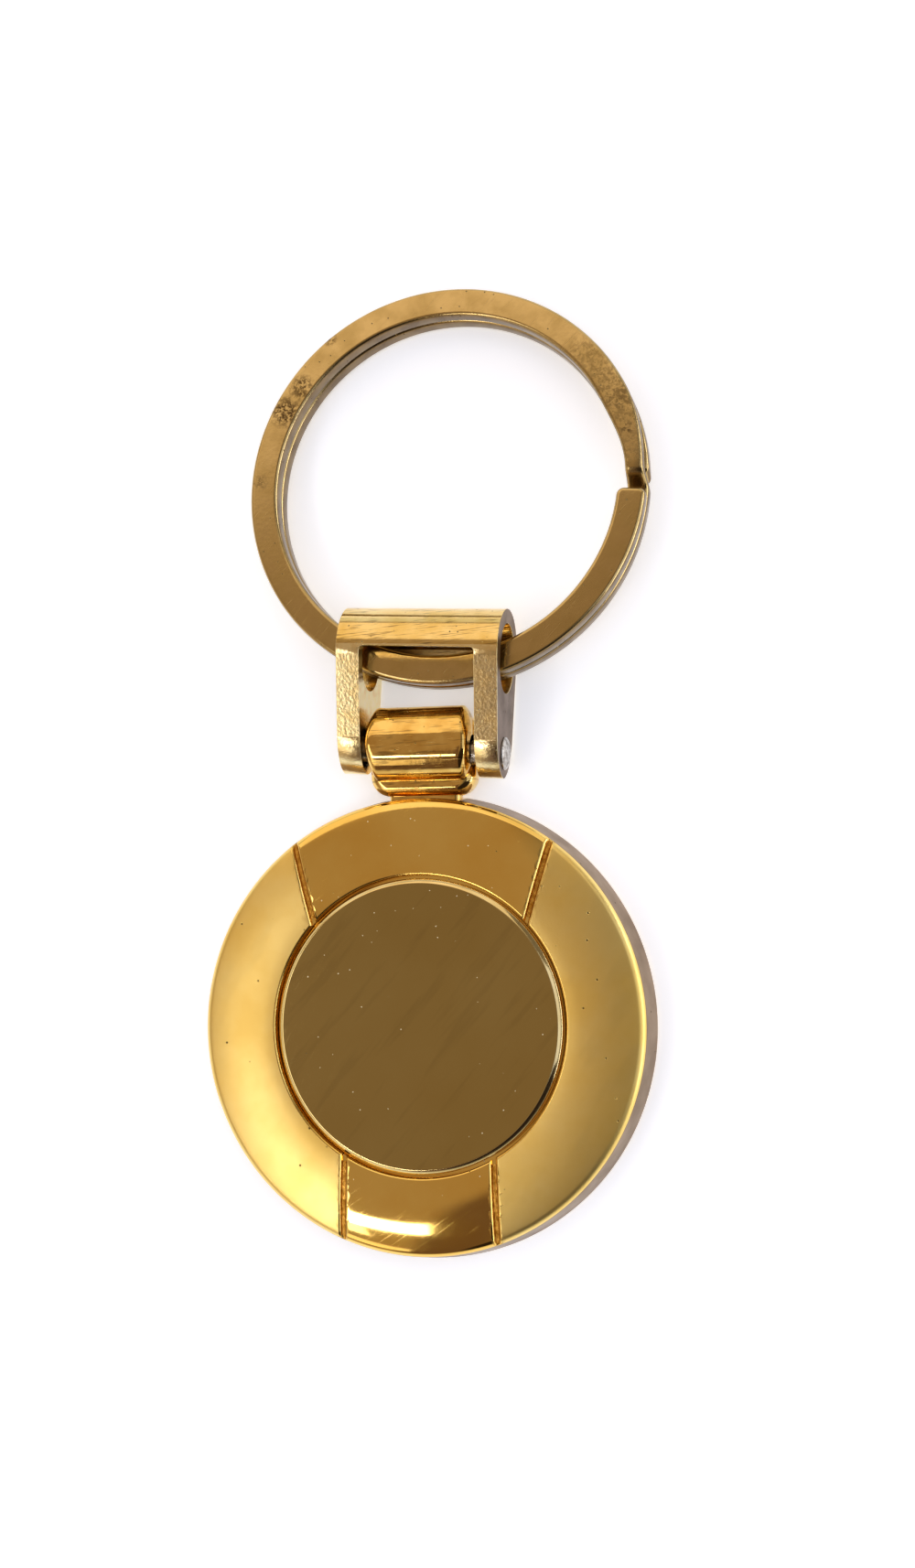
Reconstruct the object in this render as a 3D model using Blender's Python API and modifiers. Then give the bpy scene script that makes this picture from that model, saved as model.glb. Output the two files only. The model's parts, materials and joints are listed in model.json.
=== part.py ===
"""An engravable keyring: a round cast fob with a glued disc, a hinged shackle and a split ring.

It lies on its back, as it would on a table. X runs across the fob, Y from the fob to the
ring, and Z up. The origin is the centre of the fob's flat back. Lengths are in metres.
"""
import math

import bmesh
import bpy
from mathutils import Euler, Vector, kdtree

# Fob: a round casting with a rounded border and a recess for the disc
FOB_DIAMETER = 0.0350
FOB_THICKNESS = 0.0038
CROWN_WIDTH_SHARE = 0.672
CROWN_DROP = 0.0010
CROWN_END_DEG = 80.0
BACK_EDGE_RADIUS = 0.0003
RECESS_EDGE_RADIUS = 0.00012

# Engraving disc: a blank with a bevelled edge, glued into the recess
DISC_DIAMETER = 0.0220
DISC_THICKNESS = 0.0012
DISC_BEVEL_WIDTH = 0.0004
DISC_BEVEL_DEPTH = 0.00045
DISC_PROUD = 0.0001
DISC_SIDE_GAP = 0.00025
PAD_INSET = 0.0010
PAD_THICKNESS = 0.00015

# Grooves that part the polished band from the satin crescents
GROOVE_WIDTH = 0.00045
GROOVE_DEPTH = 0.0003
UPPER_BAND_INNER_WIDTH = 0.0165
UPPER_BAND_OUTER_WIDTH = 0.0203
LOWER_BAND_INNER_WIDTH = 0.0115
LOWER_BAND_OUTER_WIDTH = 0.0119

# Hinge lug: an oval knuckle on a short neck, cast in one with the fob
LUG_SIDE_GAP = 0.00045
LUG_PLAN_LENGTH = 0.0074
LUG_PLAN_OFFSET = 0.0003
LUG_SECTION_LENGTH = 0.00575
LUG_SECTION_OFFSET = 0.00058
LUG_THICKNESS = 0.0046
LUG_SECTION_POWER = 2.0
LUG_PLAN_POWER = 2.4
LUG_EDGE_BEVEL = 0.0003
LUG_BACK_LIFT = 0.0003
NECK_WIDTH = 0.0062
NECK_THICKNESS = 0.0021
NECK_BACK_LIFT = 0.0004
NECK_EDGE_RADIUS = 0.0005

# Hinge pin: a plain rod whose ends are peened over the shackle's cheeks
PIN_DIAMETER = 0.0019
PIN_PAST_RIM = 0.0032
PIN_HEAD_DIAMETER = 0.0025
PIN_HEAD_HEIGHT = 0.00035
PIN_HEAD_SEAT_GAP = 0.00004
PIN_RUNNING_GAP = 0.00025
PIN_TIGHT_GAP = 0.00004

# Shackle: a stirrup with a tunnel for the ring and an open window between its cheeks
SHACKLE_WIDTH = 0.0125
CHEEK_THICKNESS = 0.0018
ARCH_RADIUS = 0.0033
ARCH_CENTRE = 0.0076
HEEL_RADIUS = 0.0025
HEEL_CENTRE = 0.0005
TUNNEL_RADIUS = 0.0022
TUNNEL_BOTTOM = 0.0045
WINDOW_TOP = 0.00785
WINDOW_CORNER_RADIUS = 0.00025
SHACKLE_EDGE_BEVEL = 0.00018
SHACKLE_REST_GAP = 0.00004

# Split ring: two turns of flat wire, with a crank where the front turn drops to the back one
RING_DIAMETER = 0.0312
WIRE_WIDTH = 0.0022
WIRE_THICKNESS = 0.0013
WIRE_CORNER_RADIUS = 0.00035
WIRE_END_RADIUS = 0.0005
TURN_GAP = 0.0001
RING_OUTSIDE_FROM_PIN = 0.0049
RING_SWING_CENTRE = 0.00705
RING_REST_GAP = 0.00003
CRANK_START_DEG = 12.5
CRANK_END_DEG = 1.5
BACK_END_DEG = 13.5

# Rest pose: the shackle lies turned and shifted in the hinge's play, and the ring in its tunnel
HINGE_TURN_DEG = 3.0
HINGE_SHIFT = 0.0002
RING_SKEW_DEG = 3.0

# Making values shared by all pieces
CUT_OVERRUN = 0.001
MERGE_DISTANCE = 0.000001
FOB_FACETS = 96
PIN_FACETS = 24
OVAL_POINTS = 40
ARC_STEPS = 14
CROWN_STEPS = 9
ROUND_STEPS = 3
RING_STATIONS_A_TURN = 48
CRANK_STEPS = 8
CORNER_STEPS = 2
SMOOTH_DEG = 30.0
FLAT_DEG = 0.1

# Finishes: linear red, green and blue, and roughness
FOB_GOLD = (0.83, 0.56, 0.17)
FOB_ROUGHNESS = 0.25
DISC_BRASS = (0.80, 0.58, 0.22)
DISC_ROUGHNESS = 0.08
PAD_GREY = (0.55, 0.53, 0.48)
PAD_ROUGHNESS = 0.6
SHACKLE_GOLD = (0.83, 0.58, 0.20)
SHACKLE_ROUGHNESS = 0.2
PIN_STEEL = (0.62, 0.60, 0.56)
PIN_ROUGHNESS = 0.35
WIRE_GOLD = (0.72, 0.52, 0.22)
WIRE_ROUGHNESS = 0.25

# Sizes that follow from the ones above
fob_radius = FOB_DIAMETER / 2
recess_radius = DISC_DIAMETER / 2 + DISC_SIDE_GAP
disc_top = FOB_THICKNESS + DISC_PROUD
disc_bottom = disc_top - DISC_THICKNESS
recess_floor = disc_bottom - PAD_THICKNESS
crown_width = CROWN_WIDTH_SHARE * (fob_radius - recess_radius)
crown_start = fob_radius - crown_width
pad_radius = DISC_DIAMETER / 2 - PAD_INSET
pin_y = fob_radius + PIN_PAST_RIM
pin_z = LUG_BACK_LIFT + LUG_THICKNESS / 2
window_width = SHACKLE_WIDTH - 2 * CHEEK_THICKNESS
lug_width = window_width - 2 * LUG_SIDE_GAP
shackle_tilt = math.asin((ARCH_RADIUS + SHACKLE_REST_GAP - pin_z) / ARCH_CENTRE)
ring_radius = RING_DIAMETER / 2
wire_radius = ring_radius - WIRE_WIDTH / 2
ring_thickness = 2 * WIRE_THICKNESS + TURN_GAP
ring_centre_from_swing = RING_OUTSIDE_FROM_PIN + ring_radius - RING_SWING_CENTRE
swing_z = pin_z + RING_SWING_CENTRE * math.sin(shackle_tilt)
ring_skew = math.radians(RING_SKEW_DEG)
ring_tilt = math.asin((swing_z - RING_REST_GAP - ring_thickness / 2)
                      / (ring_centre_from_swing * math.cos(ring_skew) + ring_radius))

PARTS = bpy.data.collections.new("engravable_keyring")
CUTTERS = bpy.data.collections.new("cutters_and_guides")


def clear_scene():
    """Remove what the scene holds, so that the script can run again."""
    for thing in list(bpy.data.objects):
        bpy.data.objects.remove(thing, do_unlink=True)


def metal(name, colour, roughness, metallic=1.0):
    """One Principled material, with its colour as linear red, green and blue."""
    material = bpy.data.materials.new(name)
    material.use_nodes = True
    shader = material.node_tree.nodes["Principled BSDF"]
    shader.inputs["Base Color"].default_value = (*colour, 1.0)
    shader.inputs["Roughness"].default_value = roughness
    shader.inputs["Metallic"].default_value = metallic
    return material


def place(name, mesh, collection, parent=None):
    """Link a new object for the mesh, in its parent's own axes."""
    thing = bpy.data.objects.new(name, mesh)
    collection.objects.link(thing)
    thing.parent = parent
    return thing


def as_cutter(thing):
    """Mark an object as a cutter or guide: it is never rendered and isn't a piece."""
    thing.hide_render = True
    thing.display_type = "WIRE"
    return thing


def smooth(thing):
    """Shade the rounded faces smooth and keep the real edges sharp."""
    thing.data.shade_smooth()
    thing.data.set_sharp_from_angle(angle=math.radians(SMOOTH_DEG))


def turned(name, profile, facets, collection, parent=None):
    """Turn a profile of (radius, height) points, listed from the top down, about Z."""
    mesh = bpy.data.meshes.new(name)
    points = [(radius, 0, height) for radius, height in profile]
    edges = [(i, i + 1) for i in range(len(points) - 1)]
    mesh.from_pydata(points, edges, [])
    thing = place(name, mesh, collection, parent)
    screw = thing.modifiers.new("Turn", "SCREW")
    screw.steps = facets
    screw.render_steps = facets
    screw.use_merge_vertices = True
    screw.merge_threshold = MERGE_DISTANCE
    screw.use_smooth_shade = True
    return thing


def extruded(name, outline, thickness, collection, axis="Z", parent=None):
    """Extrude a closed outline to a solid that is centred on its plane.

    With axis Z the outline's points are (x, y). With axis X they are (y, z).
    """
    curve = bpy.data.curves.new(name, "CURVE")
    curve.dimensions = "2D"
    curve.fill_mode = "BOTH"
    curve.extrude = thickness / 2
    spline = curve.splines.new("POLY")
    spline.points.add(len(outline) - 1)
    for point, (across, along) in zip(spline.points, outline):
        point.co = (across, along, 0, 1)
    spline.use_cyclic_u = True
    guide = place(name + "_outline", curve, collection)
    if axis == "X":
        guide.rotation_euler = (math.pi / 2, 0, math.pi / 2)
    bpy.context.view_layer.update()
    mesh = bpy.data.meshes.new_from_object(guide.evaluated_get(bpy.context.evaluated_depsgraph_get()))
    mesh.name = name
    mesh.transform(guide.matrix_world)
    bpy.data.objects.remove(guide, do_unlink=True)
    bm = bmesh.new()
    bm.from_mesh(mesh)
    bmesh.ops.remove_doubles(bm, verts=bm.verts, dist=MERGE_DISTANCE)
    bmesh.ops.dissolve_limit(bm, angle_limit=math.radians(FLAT_DEG), verts=bm.verts, edges=bm.edges)
    bmesh.ops.recalc_face_normals(bm, faces=bm.faces)
    bm.to_mesh(mesh)
    bm.free()
    return place(name, mesh, collection, parent)


def block(name, size, centre, collection, parent=None):
    """A box of the given size, from a unit cube."""
    mesh = bpy.data.meshes.new(name)
    bm = bmesh.new()
    bmesh.ops.create_cube(bm, size=1)
    bmesh.ops.scale(bm, vec=Vector(size), verts=bm.verts)
    bmesh.ops.translate(bm, vec=Vector(centre), verts=bm.verts)
    bm.to_mesh(mesh)
    bm.free()
    return place(name, mesh, collection, parent)


def rod(name, diameter, length, facets, collection, parent=None):
    """A cylinder along X, centred on its parent's origin."""
    mesh = bpy.data.meshes.new(name)
    bm = bmesh.new()
    bmesh.ops.create_cone(bm, cap_ends=True, segments=facets, radius1=diameter / 2,
                          radius2=diameter / 2, depth=length)
    bmesh.ops.rotate(bm, matrix=Euler((0, math.pi / 2, 0)).to_matrix(), verts=bm.verts)
    bm.to_mesh(mesh)
    bm.free()
    return place(name, mesh, collection, parent)


def combine(thing, operand, operation):
    """Add a Boolean that joins, cuts or intersects with the operand."""
    boolean = thing.modifiers.new(operand.name, "BOOLEAN")
    boolean.operation = operation
    boolean.solver = "EXACT"
    boolean.object = as_cutter(operand)


def bevel(thing, width, segments, angle_deg):
    """Round the edges that are sharper than the given angle."""
    edge = thing.modifiers.new("Bevel", "BEVEL")
    edge.width = width
    edge.segments = segments
    edge.limit_method = "ANGLE"
    edge.angle_limit = math.radians(angle_deg)
    edge.use_clamp_overlap = True
    return edge


def arc(centre, radius, start_deg, end_deg, steps):
    """Points on an arc, both ends included."""
    points = []
    for i in range(steps + 1):
        angle = math.radians(start_deg + (end_deg - start_deg) * i / steps)
        points.append((centre[0] + radius * math.cos(angle), centre[1] + radius * math.sin(angle)))
    return points


def oval(centre, half_across, half_along, power, count):
    """A superellipse: an oval whose sides are flatter than an ellipse's."""
    points = []
    for i in range(count):
        angle = 2 * math.pi * i / count
        across = math.copysign(abs(math.cos(angle)) ** (2 / power), math.cos(angle))
        along = math.copysign(abs(math.sin(angle)) ** (2 / power), math.sin(angle))
        points.append((centre[0] + half_across * across, centre[1] + half_along * along))
    return points


def two_circle_outline(near, near_radius, far, far_radius):
    """The outline of a belt round two circles whose centres lie on the outline's first axis."""
    lean_deg = math.degrees(math.asin((far_radius - near_radius) / (far - near)))
    far_arc = arc((far, 0), far_radius, -90 - lean_deg, 90 + lean_deg, ARC_STEPS)
    near_arc = arc((near, 0), near_radius, 90 + lean_deg, 270 - lean_deg, ARC_STEPS)
    return far_arc + near_arc


def crown_height(radius):
    """Height of the fob's front at a radius: flat, then a quarter ellipse down to the rim."""
    if radius <= crown_start:
        return FOB_THICKNESS
    reach = min((radius - crown_start) / crown_width, 1)
    return FOB_THICKNESS - CROWN_DROP * (1 - math.sqrt(1 - reach * reach))


def fob_profile():
    """The fob's half section, from the recess floor over the crown to the back."""
    points = [(0, recess_floor), (recess_radius, recess_floor)]
    edge_centre = (recess_radius + RECESS_EDGE_RADIUS, FOB_THICKNESS - RECESS_EDGE_RADIUS)
    points += arc(edge_centre, RECESS_EDGE_RADIUS, 180, 90, ROUND_STEPS)
    for i in range(CROWN_STEPS + 1):
        angle = math.radians(CROWN_END_DEG) * i / CROWN_STEPS
        radius = crown_start + crown_width * math.sin(angle)
        points.append((radius, crown_height(radius)))
    points.append((fob_radius, crown_height(points[-1][0]) - CROWN_DROP * (1 - math.sin(angle))))
    back_centre = (fob_radius - BACK_EDGE_RADIUS, BACK_EDGE_RADIUS)
    points += arc(back_centre, BACK_EDGE_RADIUS, 0, -90, ROUND_STEPS)
    points.append((0, 0))
    return points


def groove_cutter(name, inner_width, outer_width, side, end):
    """A thin blade whose lower edge runs at the groove's depth under the crown.

    side is -1 or 1 for left or right, and end is 1 for the lug's end or -1 for the other.
    """
    start = Vector((side * inner_width / 2, end * math.sqrt(recess_radius ** 2 - (inner_width / 2) ** 2)))
    stop = Vector((side * outer_width / 2, end * math.sqrt(fob_radius ** 2 - (outer_width / 2) ** 2)))
    direction = (stop - start).normalized()
    start -= direction * (GROOVE_DEPTH + DISC_SIDE_GAP) / 2
    length = (stop - start).length + CUT_OVERRUN
    top = FOB_THICKNESS + CUT_OVERRUN
    outline = [(length, top), (0, top), (0, FOB_THICKNESS - GROOVE_DEPTH)]
    for i in range(1, ARC_STEPS + 1):
        along = length * i / ARC_STEPS
        radius = (start + direction * along).length
        if radius > crown_start:
            outline.append((along, crown_height(radius) - GROOVE_DEPTH))
    blade = extruded(name, outline, GROOVE_WIDTH, CUTTERS, axis="X")
    blade.location = (start.x, start.y, 0)
    blade.rotation_euler = (0, 0, math.atan2(direction.y, direction.x) - math.pi / 2)
    return blade


def make_lug():
    """The knuckle: a long oval section and an oval plan, intersected, with softened edges."""
    section = oval((pin_y + LUG_SECTION_OFFSET, pin_z), LUG_SECTION_LENGTH / 2, LUG_THICKNESS / 2,
                   LUG_SECTION_POWER, OVAL_POINTS)
    knuckle = extruded("lug", section, lug_width + CUT_OVERRUN, CUTTERS, axis="X")
    plan = oval((0, pin_y + LUG_PLAN_OFFSET), lug_width / 2, LUG_PLAN_LENGTH / 2,
                LUG_PLAN_POWER, OVAL_POINTS)
    outline = extruded("lug_plan", plan, 2 * LUG_THICKNESS + CUT_OVERRUN, CUTTERS)
    outline.location.z = pin_z
    combine(knuckle, outline, "INTERSECT")
    bevel(knuckle, LUG_EDGE_BEVEL, segments=2, angle_deg=50)
    return knuckle


def make_neck():
    """The short bar that joins the knuckle to the fob's rim."""
    length = PIN_PAST_RIM + crown_width / 2
    centre = (0, pin_y - length / 2, NECK_BACK_LIFT + NECK_THICKNESS / 2)
    neck = block("lug_neck", (NECK_WIDTH, length, NECK_THICKNESS), centre, CUTTERS)
    bevel(neck, NECK_EDGE_RADIUS, segments=3, angle_deg=60)
    return neck


def make_fob(material):
    """The casting: body, neck and knuckle in one, with the pin's bore and four grooves."""
    fob = turned("fob_body", fob_profile(), FOB_FACETS, PARTS)
    combine(fob, make_neck(), "UNION")
    combine(fob, make_lug(), "UNION")
    bore = rod("lug_bore", PIN_DIAMETER + 2 * PIN_RUNNING_GAP, lug_width + 2 * CUT_OVERRUN,
               PIN_FACETS, CUTTERS)
    bore.location = (0, pin_y, pin_z)
    combine(fob, bore, "DIFFERENCE")
    for side, side_name in ((-1, "left"), (1, "right")):
        upper = groove_cutter("upper_groove_" + side_name, UPPER_BAND_INNER_WIDTH,
                              UPPER_BAND_OUTER_WIDTH, side, 1)
        lower = groove_cutter("lower_groove_" + side_name, LOWER_BAND_INNER_WIDTH,
                              LOWER_BAND_OUTER_WIDTH, side, -1)
        combine(fob, upper, "DIFFERENCE")
        combine(fob, lower, "DIFFERENCE")
    fob.data.materials.append(material)
    return fob


def make_disc(material):
    """The engraving blank, with its bevelled edge."""
    radius = DISC_DIAMETER / 2
    profile = [(0, disc_top), (radius - DISC_BEVEL_WIDTH, disc_top),
               (radius, disc_top - DISC_BEVEL_DEPTH), (radius, disc_bottom), (0, disc_bottom)]
    disc = turned("engraving_disc", profile, FOB_FACETS, PARTS)
    disc.data.materials.append(material)
    return disc


def make_pad(material):
    """The thin round of adhesive that holds the disc."""
    mesh = bpy.data.meshes.new("disc_adhesive")
    bm = bmesh.new()
    bmesh.ops.create_cone(bm, cap_ends=True, segments=FOB_FACETS, radius1=pad_radius,
                          radius2=pad_radius, depth=PAD_THICKNESS)
    bm.to_mesh(mesh)
    bm.free()
    pad = place("disc_adhesive", mesh, PARTS)
    pad.location.z = recess_floor + PAD_THICKNESS / 2
    pad.data.materials.append(material)
    return pad


def window_outline():
    """The opening between the cheeks, with small round corners at its closed end."""
    half = window_width / 2
    corner = WINDOW_CORNER_RADIUS
    foot = HEEL_CENTRE - HEEL_RADIUS - CUT_OVERRUN
    right = arc((half - corner, WINDOW_TOP - corner), corner, 0, 90, ROUND_STEPS)
    left = arc((corner - half, WINDOW_TOP - corner), corner, 90, 180, ROUND_STEPS)
    return [(half, foot)] + right + left + [(-half, foot)]


def make_shackle(pivot, material):
    """The stirrup, cut by the ring's tunnel, the window and the pin's holes."""
    body = two_circle_outline(HEEL_CENTRE, HEEL_RADIUS, ARCH_CENTRE, ARCH_RADIUS)
    shackle = extruded("shackle", body, SHACKLE_WIDTH, PARTS, axis="X", parent=pivot)
    bevel(shackle, SHACKLE_EDGE_BEVEL, segments=2, angle_deg=60)
    through = SHACKLE_WIDTH + 2 * CUT_OVERRUN
    tunnel_shape = two_circle_outline(TUNNEL_BOTTOM + TUNNEL_RADIUS, TUNNEL_RADIUS,
                                      ARCH_CENTRE, TUNNEL_RADIUS)
    combine(shackle, extruded("tunnel", tunnel_shape, through, CUTTERS, "X", pivot), "DIFFERENCE")
    combine(shackle, extruded("window", window_outline(), 2 * ARCH_RADIUS + 2 * CUT_OVERRUN,
                              CUTTERS, "Z", pivot), "DIFFERENCE")
    holes = rod("pin_holes", PIN_DIAMETER + 2 * PIN_TIGHT_GAP, through, PIN_FACETS, CUTTERS, pivot)
    combine(shackle, holes, "DIFFERENCE")
    shackle.data.materials.append(material)
    return shackle


def make_pin(pivot, material):
    """The hinge pin, turned about its length: shank and two peened, domed heads."""
    shank = PIN_DIAMETER / 2
    head = PIN_HEAD_DIAMETER / 2
    seat = SHACKLE_WIDTH / 2 + PIN_HEAD_SEAT_GAP
    dome = []
    for i in range(ROUND_STEPS + 1):
        angle = math.pi / 2 * i / ROUND_STEPS
        dome.append((head * math.sin(angle), seat + PIN_HEAD_HEIGHT * math.cos(angle)))
    profile = dome + [(shank, seat)]
    profile += [(radius, -height) for radius, height in reversed(profile)]
    pin = turned("hinge_pin", profile, PIN_FACETS, PARTS, pivot)
    pin.rotation_euler = (0, math.pi / 2, 0)
    pin.data.materials.append(material)
    return pin


def wire_section(half_width):
    """The flat wire's section as (radial, axial) points: a rectangle with rounded corners."""
    corner = WIRE_CORNER_RADIUS
    across = half_width - corner
    up = WIRE_THICKNESS / 2 - corner
    points = []
    for x_side, y_side, start_deg in ((1, 1, 0), (-1, 1, 90), (-1, -1, 180), (1, -1, 270)):
        points += arc((x_side * across, y_side * up), corner, start_deg, start_deg + 90, CORNER_STEPS)
    return points


def turn_height(travel_deg):
    """Height of the wire's middle after a travel: front turn, crank, then back turn."""
    half_pitch = (WIRE_THICKNESS + TURN_GAP) / 2
    start = 360 - CRANK_START_DEG
    span = CRANK_START_DEG - CRANK_END_DEG
    reach = min(max((travel_deg - start) / span, 0), 1)
    return half_pitch * math.cos(math.pi * reach)


def ring_stations():
    """The travel and half width of each section along the wire, in order."""
    last = 720 - BACK_END_DEG
    end_deg = math.degrees(WIRE_END_RADIUS / wire_radius)
    crank = [360 - CRANK_START_DEG + (CRANK_START_DEG - CRANK_END_DEG) * i / CRANK_STEPS
             for i in range(CRANK_STEPS + 1)]
    step = 360 / RING_STATIONS_A_TURN
    plain = [step * i for i in range(1, 2 * RING_STATIONS_A_TURN)]
    plain = [travel for travel in plain if travel < last - end_deg and not crank[0] <= travel <= crank[-1]]
    stations = [(travel, WIRE_WIDTH / 2) for travel in sorted(plain + crank)]
    for i in range(ROUND_STEPS + 1):
        angle = math.pi / 2 * i / ROUND_STEPS
        inset_deg = end_deg * (1 - math.sin(angle))
        half_width = WIRE_WIDTH / 2 - WIRE_END_RADIUS * (1 - math.cos(angle))
        stations.insert(0, (inset_deg, half_width))
        stations.append((last - inset_deg, half_width))
    return stations


def ring_sections():
    """The sections in space. The wire starts at the right and travels clockwise, seen from above."""
    sections = []
    for travel, half_width in ring_stations():
        angle = -math.radians(travel)
        height = turn_height(travel)
        outward = Vector((math.cos(angle), math.sin(angle), 0))
        sections.append([outward * (wire_radius + radial) + Vector((0, 0, height + axial))
                         for radial, axial in wire_section(half_width)])
    return sections


def least_turn_gap(sections):
    """The least distance between points of the wire that lie about a turn apart."""
    half_turn = RING_STATIONS_A_TURN // 2
    tree = kdtree.KDTree(sum(len(section) for section in sections))
    owner = []
    for number, section in enumerate(sections):
        for point in section:
            tree.insert(point, len(owner))
            owner.append(number)
    tree.balance()
    gaps = []
    for number, section in enumerate(sections):
        for point in section:
            near = tree.find_range(point, WIRE_THICKNESS)
            gaps += [distance for _, index, distance in near if abs(owner[index] - number) > half_turn]
    return min(gaps)


def make_ring(pivot, material):
    """The split ring: unlike sections along two turns, lofted because the ends narrow."""
    sections = ring_sections()
    count = len(sections[0])
    bm = bmesh.new()
    rows = [[bm.verts.new(point) for point in section] for section in sections]
    for row, following in zip(rows, rows[1:]):
        for i in range(count):
            bm.faces.new((row[i], row[(i + 1) % count], following[(i + 1) % count], following[i]))
    bm.faces.new(rows[0])
    bm.faces.new(rows[-1])
    bmesh.ops.recalc_face_normals(bm, faces=bm.faces)
    mesh = bpy.data.meshes.new("split_ring")
    bm.to_mesh(mesh)
    bm.free()
    ring = place("split_ring", mesh, PARTS, pivot)
    ring.location.y = ring_centre_from_swing
    smooth(ring)
    ring.data.materials.append(material)
    print("split ring: least gap between its turns, in mm:", round(least_turn_gap(sections) * 1000, 3))
    return ring


def main():
    clear_scene()
    for collection in (PARTS, CUTTERS):
        bpy.context.scene.collection.children.link(collection)
    make_fob(metal("cast zinc, gold plated", FOB_GOLD, FOB_ROUGHNESS))
    make_disc(metal("polished brass blank", DISC_BRASS, DISC_ROUGHNESS))
    make_pad(metal("adhesive pad", PAD_GREY, PAD_ROUGHNESS, metallic=0.0))
    shackle_pivot = place("shackle_pivot", None, PARTS)
    shackle_pivot.location = (HINGE_SHIFT, pin_y, pin_z)
    shackle_pivot.rotation_euler = (shackle_tilt, 0, -math.radians(HINGE_TURN_DEG))
    make_shackle(shackle_pivot, metal("cast shackle, gold plated", SHACKLE_GOLD, SHACKLE_ROUGHNESS))
    make_pin(shackle_pivot, metal("peened steel pin", PIN_STEEL, PIN_ROUGHNESS))
    ring_pivot = place("ring_pivot", None, PARTS, shackle_pivot)
    ring_pivot.location.y = RING_SWING_CENTRE
    ring_pivot.rotation_mode = "ZYX"
    ring_pivot.rotation_euler = (-shackle_tilt - ring_tilt, 0, -ring_skew)
    make_ring(ring_pivot, metal("spring steel wire, gold plated", WIRE_GOLD, WIRE_ROUGHNESS))
    for thing in PARTS.objects:
        if thing.type == "MESH" and thing.name != "split_ring":
            smooth(thing)
    bpy.context.view_layer.update()


main()
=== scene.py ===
"""Engravable keyring: gold-plated fob with a polished disc, hinged shackle and split ring.

The pieces lie where the CAD model has them. X runs across the fob, Y from the fob to the ring
and Z up; lengths are in metres.
"""

import json
import math

import bmesh
import bpy
from mathutils import Matrix, Vector

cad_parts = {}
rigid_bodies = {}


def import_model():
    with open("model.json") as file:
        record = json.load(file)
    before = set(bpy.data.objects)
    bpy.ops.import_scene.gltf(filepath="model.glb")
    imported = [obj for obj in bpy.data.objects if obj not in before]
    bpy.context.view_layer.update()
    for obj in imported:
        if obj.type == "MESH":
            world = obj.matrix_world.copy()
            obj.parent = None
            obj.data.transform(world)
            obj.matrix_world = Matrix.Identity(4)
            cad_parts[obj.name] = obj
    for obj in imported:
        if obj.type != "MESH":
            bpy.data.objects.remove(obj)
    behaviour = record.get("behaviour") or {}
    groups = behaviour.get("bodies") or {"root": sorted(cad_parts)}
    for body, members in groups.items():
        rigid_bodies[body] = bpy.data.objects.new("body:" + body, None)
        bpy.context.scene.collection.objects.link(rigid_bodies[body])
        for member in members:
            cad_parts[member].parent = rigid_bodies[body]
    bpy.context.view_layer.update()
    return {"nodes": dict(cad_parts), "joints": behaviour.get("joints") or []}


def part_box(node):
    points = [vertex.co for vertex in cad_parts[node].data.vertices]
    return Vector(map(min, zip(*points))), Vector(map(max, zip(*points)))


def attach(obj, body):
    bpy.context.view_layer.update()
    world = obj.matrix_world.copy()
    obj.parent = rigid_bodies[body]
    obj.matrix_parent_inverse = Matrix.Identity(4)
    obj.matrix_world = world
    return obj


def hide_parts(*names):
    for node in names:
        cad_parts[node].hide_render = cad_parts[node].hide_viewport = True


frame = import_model()

# Fob casting: flat round the recess, a slight crown, a tight rim and a wall with the mould's draft
FOB_THICKNESS = 0.0038
CROWN_START = 0.0124
CROWN_END_DEG = 10.5
RIM_RADIUS = 0.0007
WALL_DRAFT = 0.00038
BACK_EDGE = 0.0004
RECESS_EDGE = 0.00018
DISC_SIDE_GAP = 0.00025
WALL_FINISH_FROM = 0.35  # share of the rim's radius above its centre where the wall's finish, darkened as a painted reflection, starts

# Grooves: each band is the distance between its two grooves, at the recess and at the rim
UPPER_BAND = (0.0165, 0.0203)
LOWER_BAND = (0.0115, 0.0119)
GROOVE_WIDTH = 0.00056
GROOVE_FLOOR = 0.00024
GROOVE_DEPTH = 0.00026
GROOVE_LEAD = 0.0001
GROOVE_SHOULDER = 0.0001
GROOVE_RUNS_OUT = 0.35  # share of the rim's radius past the crown where the groove stops falling
FLOOR_FINISH_BELOW = 0.45  # share of the groove's depth
LIP_FINISH_REACH = 0.62  # share of the groove's width

# Knuckle, collar and neck: widths across X, ends from the pin along Y, heights above the table
LUG_WIDTH = 0.0080
LUG_SECTION = (0.00575, 0.0046)
LUG_SECTION_OFFSET = 0.00058
LUG_PLAN = 0.0074
LUG_PLAN_POWER = 3.2
LUG_BLUNT = 0.985  # share of the plan's half width that the barrel uses, so that its ends stay flat
LUG_EDGE = 0.00042
COLLAR_WIDTH = 0.0083
COLLAR_ENDS = (-0.00335, 0.0031)
COLLAR_CORNER = 0.0015
COLLAR_HEIGHTS = (0.0005, 0.0029)
COLLAR_EDGE = 0.0008
NECK_WIDTH = 0.0056
NECK_HEIGHTS = (0.0006, 0.0020)
NECK_EDGE = 0.0004
BORE_RADIUS = 0.0012

# Engraving disc: its bevel is given as width and depth
DISC_BEVEL = (0.00032, 0.00024)
DISC_EDGE = 0.00005
DISC_FLAT_RING = 1.3  # bevel widths from the edge to a ring of points that keeps the face's shading flat

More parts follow.
